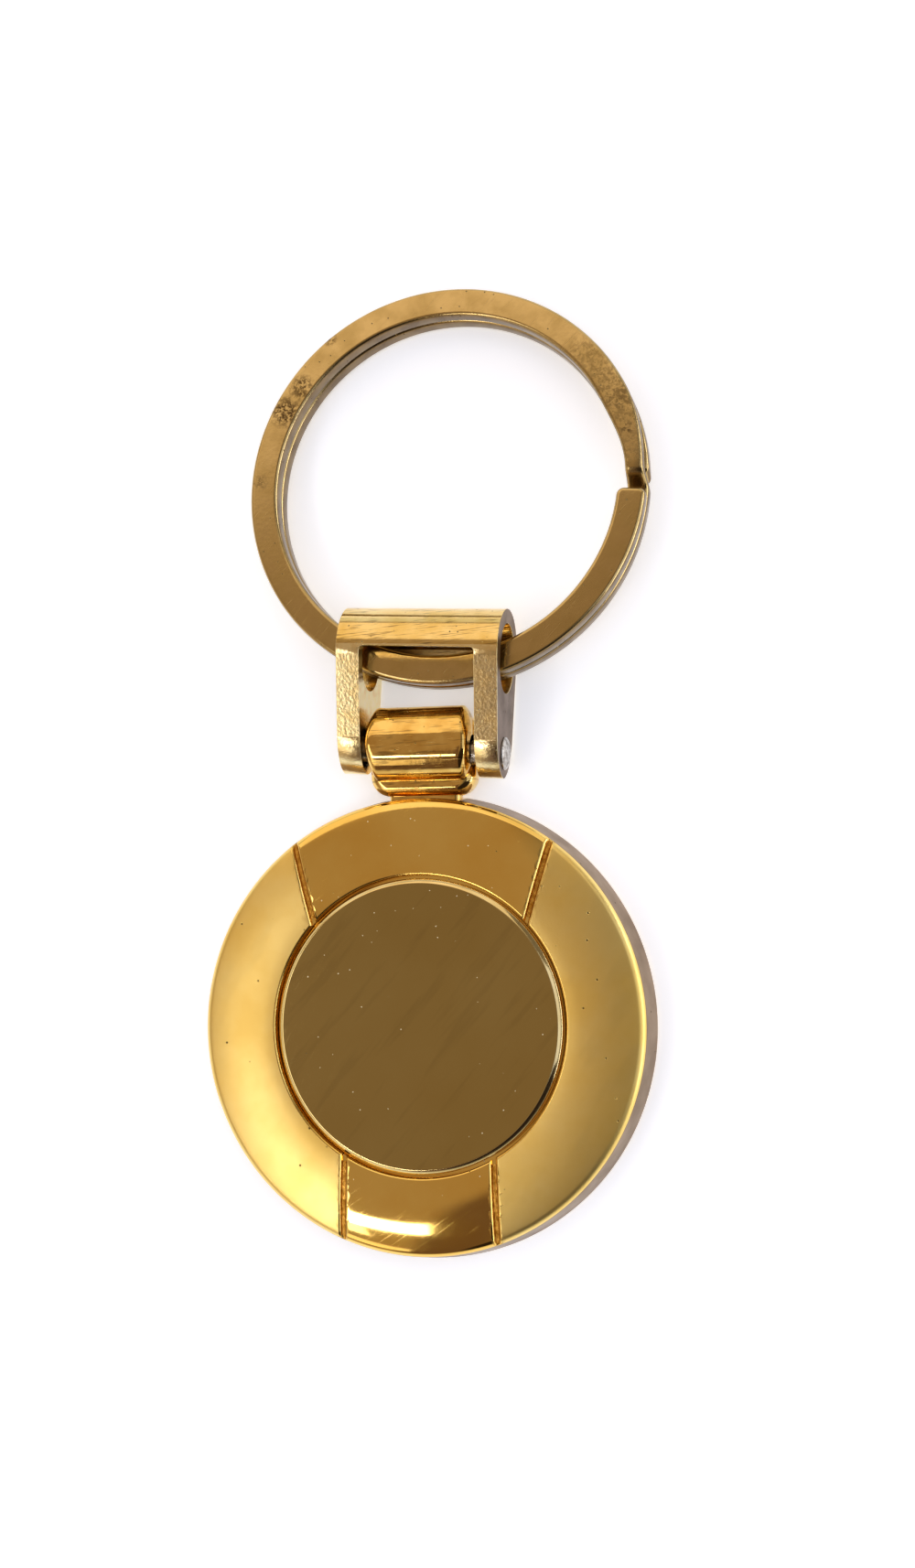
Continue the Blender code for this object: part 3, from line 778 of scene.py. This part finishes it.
def ramp(tree, value, start, stop, low=0.0, high=1.0):
    """A value that goes from low to high while another one goes from start to stop."""
    return node(tree, "MapRange", {"Value": value, "From Min": start, "From Max": stop,
                                   "To Min": low, "To Max": high}).outputs[0]


def mix_values(tree, share, first, second):
    """A value between two others."""
    return node(tree, "Mix", {0: share, 2: first, 3: second}).outputs[0]


def mix_colours(tree, share, first, second):
    """A colour between two others."""
    return node(tree, "Mix", {0: share, 6: first, 7: second}, data_type="RGBA").outputs[2]


def noise(tree, place, scale, detail, roughness=0.5):
    """Cloudy noise."""
    return node(tree, "TexNoise", {"Vector": place, "Scale": scale, "Detail": detail,
                                   "Roughness": roughness}).outputs["Fac"]


def drawn_out_noise(tree, place, length, width, turned, detail):
    """Noise drawn out one way in plan, by a length and width in mm and a turn in degrees."""
    mapped = node(tree, "Mapping", {"Vector": place, "Rotation": (0, 0, math.radians(turned)),
                                    "Scale": (length / 1000, width / 1000, length / 1000)},
                  vector_type="TEXTURE")
    return noise(tree, mapped.outputs[0], 1.0, detail)


def spots(tree, place, spacing, radius, cells):
    """Scattered round spots: their spacing and radius in mm, and the share of the cells that have one."""
    field = node(tree, "TexVoronoi", {"Vector": place, "Scale": 1000 / spacing}).outputs
    near = ramp(tree, field["Distance"], radius / spacing, radius / spacing * SPOT_CORE)
    chance = node(tree, "SeparateColor", {"Color": field["Color"]}).outputs[0]
    return calculate(tree, "MULTIPLY", near, calculate(tree, "LESS_THAN", chance, cells))


def fretted_patch(tree, place, middle, radius, strength):
    """A fretted round patch."""
    away = node(tree, "VectorMath", {0: place, 1: middle}, operation="DISTANCE").outputs["Value"]
    near = ramp(tree, away, radius, radius * SPOT_CORE)
    fretted = noise(tree, place, FRET_SCALE, 3.0, 0.8)
    return calculate(tree, "MULTIPLY", near, ramp(tree, fretted, *FRET_SPREAD, high=strength))


def surface(name, colour, shade, tone_mm, roughness, grain=None, pits=None, dust=None, scratches=None,
            streaks=None, worn=(), metallic=1.0):
    """A surface of two tones and uneven gloss, with grain, brown streaks, brown patches of wear and painted
    shade, pits, dust and scratches.

    Sizes are in mm. grain is (size, depth), pits and dust are (spacing, radius, share of the cells
    that have one), scratches and streaks are (length, width, strength, turn in degrees), and worn
    holds (place and radius in metres, strength).
    """
    made = bpy.data.materials.new(name)
    made.use_nodes = True
    tree = made.node_tree
    shader = tree.nodes["Principled BSDF"]
    shader.inputs["Metallic"].default_value = metallic
    place = node(tree, "TexCoord").outputs["Object"]
    tones = noise(tree, place, 1000 / tone_mm, 4.0)
    tint = mix_colours(tree, ramp(tree, tones, *TONE_SPREAD), linear(colour), linear(shade))
    gloss = ramp(tree, tones, *GLOSS_SPREAD, *roughness)
    height = None
    if grain:
        size, depth = grain
        height = calculate(tree, "MULTIPLY", noise(tree, place, 1000 / size, 3.0), depth)
    if streaks:
        length, width, strength, turned = streaks
        cloud = drawn_out_noise(tree, place, length, width, turned, 2.0)
        mask = ramp(tree, cloud, *STREAK_SPREAD, high=strength)
        tint = mix_colours(tree, mask, tint, linear(WEAR_AND_SHADE_BROWN))
    # brown patches: wear, and on the ring's right a painted shade
    for patch in worn:
        mask = fretted_patch(tree, place, *patch)
        tint = mix_colours(tree, mask, tint, linear(WEAR_AND_SHADE_BROWN))
        gloss = mix_values(tree, mask, gloss, WORN_ROUGHNESS)
    if pits:
        mask = spots(tree, place, *pits)
        tint = mix_colours(tree, mask, tint, linear(PIT_BROWN))
        gloss = mix_values(tree, mask, gloss, PIT_ROUGHNESS)
        dent = calculate(tree, "MULTIPLY", mask, -PIT_DEPTH_MM)
        height = calculate(tree, "ADD", height, dent) if height else dent
    if dust:
        mask = spots(tree, place, *dust)
        tint = mix_colours(tree, mask, tint, linear(DUST_PALE))
        gloss = mix_values(tree, mask, gloss, DUST_ROUGHNESS)
        tree.links.new(calculate(tree, "SUBTRACT", metallic, mask), shader.inputs["Metallic"])
    if scratches:
        length, width, strength, turned = scratches
        lines = drawn_out_noise(tree, place, length, width, turned, 1.0)
        gloss = mix_values(tree, ramp(tree, lines, *SCRATCH_SPREAD, high=strength), gloss, SCRATCH_ROUGHNESS)
    if height:
        bump = node(tree, "Bump", {"Height": height, "Distance": 0.001})
        tree.links.new(bump.outputs[0], shader.inputs["Normal"])
    tree.links.new(tint, shader.inputs["Base Color"])
    tree.links.new(gloss, shader.inputs["Roughness"])
    return made


# Buffed plate: near-mirror reflections in deep yellow, with hairlines, a few dark pits and dust.
# Real hairlines are about 0.01 mm wide. Here and below they are drawn coarser, so that they show.
polished_gold = surface("polished gold plate on cast zinc", "#f8d57a", "#f2c868", 6.0, (0.04, 0.08),
                        grain=(2.6, 0.0025), pits=(1.2, 0.06, 0.5), dust=(0.9, 0.060, 0.7),
                        scratches=(2.0, 0.07, 0.2, 35))
# Plate over a bead-blasted casting: reflections spread into soft bands, with small dark specks.
# Blasting leaves dimples of about 0.05 mm. They are drawn at 0.14 mm, so that they show.
satin_gold = surface("satin gold plate, bead blasted", "#fadc88", "#f3cf72", 5.0, (0.34, 0.40),
                     grain=(0.14, 0.004), pits=(1.5, 0.11, 0.9), streaks=(6.0, 2.2, 0.05, 60))
# The buff does not reach the grooves, so their floors stay rough, as cast; their colour is a darker, more
# orange gold than the plate round them.
groove_gold = surface("gold plate in a coarse cast groove", "#d9a54a", "#a9701e", 0.35, (0.26, 0.50),
                      grain=(0.16, 0.03))
# The rim's wall is a dull gold with blurred reflections, darkened to a brown that stands in for the
# reflection of a dark table beside the fob: a painted reflection.
rim_wall_painted_dark = surface("rim wall plate darkened as painted reflection", "#957a5a", "#826849", 2.5, (0.30, 0.40),
                    grain=(0.25, 0.003), pits=(1.2, 0.1, 0.5))
# The back lies on tables and keys, so long scratches cross a half-dull plate.
back_gold = surface("gold plate of the back, rubbed", "#ecc670", "#ddb159", 4.0, (0.22, 0.36),
                    grain=(0.4, 0.003), scratches=(6.0, 0.10, 0.7, 20), pits=(1.5, 0.1, 0.6))
# The shackle rubs the knuckle: bright plate with thin brown streaks along the pin and small pits.
knuckle_gold = surface("rubbed gold plate on the knuckle", "#f5d07c", "#dfb25c", 1.6, (0.04, 0.10),
                       grain=(0.9, 0.005), pits=(0.5, 0.07, 0.5), scratches=(1.6, 0.08, 0.6, 2),
                       streaks=(1.8, 0.20, 0.5, 3))
# Lapped flat for engraving: a mirror, darker and browner than the plate, with wipe marks and dust.
disc_face = surface("lapped brass blank", "#b8a46b", "#b39d62", 9.0, (0.03, 0.06), pits=(2.0, 0.05, 0.8),
                    dust=(0.9, 0.062, 0.9), scratches=(2.5, 0.06, 0.12, 62), streaks=(7.0, 0.8, 0.09, 50))
# The bevel is paler and brighter than the face and a little less sharp; its pale colour is a painted
# highlight, so that the bevel shows a cream line.
disc_edge_painted_pale = surface("turned edge of the blank, painted pale", "#eed79a", "#e2c684", 2.0, (0.08, 0.14))
# Bright plate on the arch, with thin brown scratches across it where keys hang.
shackle_gold = surface("gold plate on the shackle", "#efd390", "#e0be6e", 2.2, (0.06, 0.14),
                       grain=(1.4, 0.006), pits=(0.6, 0.07, 0.6), scratches=(2.6, 0.08, 0.5, 4),
                       streaks=(1.5, 0.09, 0.6, 4))
# The legs' fronts are finely pitted: pale, sparkling plate. Pits of 0.05 mm are drawn at twice that.
leg_gold = surface("pitted plate on the shackle's legs", "#fdecb8", "#efd496", 1.0, (0.14, 0.24),
                   grain=(0.22, 0.015), pits=(0.42, 0.05, 0.5))
# The cheeks were sawn and barrel plated, not buffed: dull gold, darkened to a brown that stands in for the
# reflection of a dark table, a painted reflection.
cheek_painted_dark = surface("shackle cheek plate darkened as painted reflection", "#7a6048", "#67503b", 1.5, (0.30, 0.42),
                     grain=(0.2, 0.006), pits=(0.6, 0.08, 0.5))
# The pin's ends are hammered over: bare grey steel in small bright and dark facets.
pin_steel = surface("peened steel", "#cfcac2", "#8e857c", 0.4, (0.18, 0.42), grain=(0.25, 0.03))
# Thin plate on rolled wire: half-gloss olive gold, with worn brown patches and small pits; broad faint brown
# patches on the ring's right are painted shade.
ring_gold = surface("gold plate on spring wire", "#c9ae76", "#bca168", 1.6, (0.14, 0.22),
                    grain=(0.3, 0.003), pits=(0.7, 0.06, 0.6), scratches=(2.0, 0.07, 0.3, 48),
                    worn=WEAR_AND_SHADE_PLACES)
# The wire's walls are rolled and never buffed: dull gold, darkened to a brown that stands in for the
# reflection of a dark table, a painted reflection.
ring_wall_painted_dark = surface("wire wall plate darkened as painted reflection", "#8e7858", "#77634a", 1.5, (0.18, 0.30),
                    grain=(0.2, 0.004), pits=(0.7, 0.08, 0.5))
# Double-sided tape under the blank: matt off-white, seen only at its cut edge.
pad_tape = surface("adhesive tape", "#cfc7b6", "#c2b9a6", 1.5, (0.6, 0.7), grain=(0.4, 0.004), metallic=0.0)

make_fob(polished_gold, satin_gold, groove_gold, rim_wall_painted_dark, back_gold, knuckle_gold)
make_disc(disc_face, disc_edge_painted_pale)
make_shackle(shackle_gold, leg_gold, cheek_painted_dark)
make_pin(pin_steel)
make_ring(ring_gold, ring_wall_painted_dark)
pad = frame["nodes"]["disc_adhesive"]
pad.data.materials.clear()
pad.data.materials.append(pad_tape)


# Floor, light and camera

FLOOR_SIZE = 1.6
FLOOR_GLOW = 0.42  # what the paper adds for the camera and in reflections, so that it shows white
FLOOR_DROP = 0.00002
# Heavy drawing paper: matt, near white, with hardly any tone in it.
floor_paper = surface("matt white paper", "#f4f7fd", "#f2f5fb", 60.0, (0.8, 0.9), metallic=0.0)
bpy.ops.object.select_all(action="DESELECT")
bpy.ops.mesh.primitive_plane_add(size=FLOOR_SIZE, location=(0, 0, -FLOOR_DROP))
floor = bpy.context.active_object
floor.name = "paper_floor"
bpy.ops.object.transform_apply(location=True, rotation=True, scale=True)
floor.data.materials.append(floor_paper)
paper = floor_paper.node_tree
rays = node(paper, "LightPath").outputs
seen = calculate(paper, "MAXIMUM", rays["Is Camera Ray"], rays["Is Glossy Ray"])
seen = calculate(paper, "MAXIMUM", seen, rays["Is Transmission Ray"])
paper_shader = paper.nodes["Principled BSDF"].inputs
paper_shader["Emission Color"].default_value = linear("#ffffff")
paper.links.new(calculate(paper, "MULTIPLY", seen, FLOOR_GLOW), paper_shader["Emission Strength"])

AIM = Vector((0.0, 0.015, 0.003))


def softbox(name, direction, distance, size, radiance, colour):
    """A soft lamp: its direction from the keyring, distance, size in metres, radiance and colour."""
    lamp = bpy.data.lights.new(name, "AREA")
    lamp.shape = "RECTANGLE"
    lamp.size, lamp.size_y = size
    lamp.energy = radiance * math.pi * size[0] * size[1]
    lamp.color = linear(colour)[:3]
    holder = bpy.data.objects.new(name, lamp)
    bpy.context.scene.collection.objects.link(holder)
    away = Vector(direction).normalized()
    holder.location = AIM + away * distance
    holder.rotation_euler = away.to_track_quat("Z", "Y").to_euler()
    holder.visible_camera = False
    return holder


def sheet_over(name, middle, size, turned, radiance, colour):
    """A level sheet of light above the keyring, turned about its middle."""
    lamp = softbox(name, (0, 0, 1), 1, size, radiance, colour)
    lamp.location = middle
    lamp.rotation_euler = (0, 0, math.radians(turned))
    return lamp


# Soft lamps, placed so that their reflections fall where the photograph's bright areas are
sheet_over("window gap", (-0.067, -0.074, 0.155), (0.052, 0.014), 0, 9.0, "#ffffff")
sheet_over("lower left sheet", (-0.117, -0.148, 0.150), (0.110, 0.110), -13, 0.98, "#fff4e0")
sheet_over("left sheet", (-0.0905, -0.0375, 0.160), (0.040, 0.115), 0, 2.2, "#ffffff")
sheet_over("far left sheet", (-0.133, -0.0375, 0.160), (0.045, 0.115), 0, 0.35, "#ffffff")
softbox("far wall", (-0.22, 1.19, 1.0), 0.6, (0.9, 0.50), 0.84, "#f8e8d2")
softbox("right sheet", (1.0, 0.05, 0.95), 0.6, (0.5, 0.42), 0.9, "#e6ebff")
softbox("right low lamp", (1.0, 0.05, 0.20), 0.6, (0.7, 0.14), 4.2, "#eef3ff")
# This one lights the paper, and the metal doesn't reflect it
fill = sheet_over("floor fill", (0, 0, 1.0), (1.2, 1.2), 0, 0.75, "#dfe8ff")
fill.visible_glossy = False

# The room that the metal reflects: a tan ceiling over a pale horizon, greyer to the right, with a
# dark shape at the near right and a dim patch at the near left
world = bpy.data.worlds.new("room")
bpy.context.scene.world = world
world.use_nodes = True
sky = world.node_tree
CEILING_TAN, CEILING_GREY, HORIZON = linear("#ab9379"), linear("#7a7167"), linear("#f4f1ec")
DARK_SHAPE, DIM_PATCH = linear("#2a2220"), linear("#6e584c")
DARK_SHAPE_WAY = (0.40, -0.74, 0.54)
way = node(sky, "TexCoord").outputs["Generated"]
across, along, rise = node(sky, "SeparateXYZ", {"Vector": way}).outputs
above = mix_colours(sky, ramp(sky, across, -0.09, 0.08), CEILING_TAN, CEILING_GREY)
toward = node(sky, "VectorMath", {0: way, 1: DARK_SHAPE_WAY}, operation="DOT_PRODUCT").outputs["Value"]
above = mix_colours(sky, ramp(sky, toward, 0.74, 0.86), above, DARK_SHAPE)
near_end = ramp(sky, along, -0.14, -0.22)
slant = calculate(sky, "SUBTRACT", across, calculate(sky, "MULTIPLY", along, 0.2))
patch = calculate(sky, "MULTIPLY", ramp(sky, slant, -0.205, -0.165), ramp(sky, across, -0.08, -0.12))
above = mix_colours(sky, calculate(sky, "MULTIPLY", patch, near_end), above, DIM_PATCH)
tone = mix_colours(sky, ramp(sky, rise, 0.16, 0.30), HORIZON, above)
sky.links.new(tone, sky.nodes["Background"].inputs["Color"])

# The photograph's camera, fitted to the keyring's known round outlines
CAMERA_PLACE = Vector((0.03879, 0.00541, 0.14279))
CAMERA_RIGHT = Vector((0.96852, -0.00142, -0.24895))
CAMERA_DOWN = Vector((-0.0232, -0.99615, -0.08459))
CAMERA_AHEAD = Vector((-0.24787, 0.0877, -0.96482))
FOCAL_PIXELS = 2098.0
IMAGE_HEIGHT = 1714
SENSOR = 36.0
lens = bpy.data.cameras.new("camera")
lens.sensor_width = SENSOR
lens.lens = FOCAL_PIXELS / IMAGE_HEIGHT * SENSOR
lens.clip_start = 0.005
camera = bpy.data.objects.new("camera", lens)
bpy.context.scene.collection.objects.link(camera)
camera.matrix_world = axes(CAMERA_PLACE, CAMERA_RIGHT, -CAMERA_DOWN, -CAMERA_AHEAD)
bpy.context.scene.camera = camera
bpy.context.scene.view_settings.view_transform = "Standard"

for each in bpy.data.objects:
    if each.type == "MESH":
        print(each.name, len(each.data.polygons), "faces")
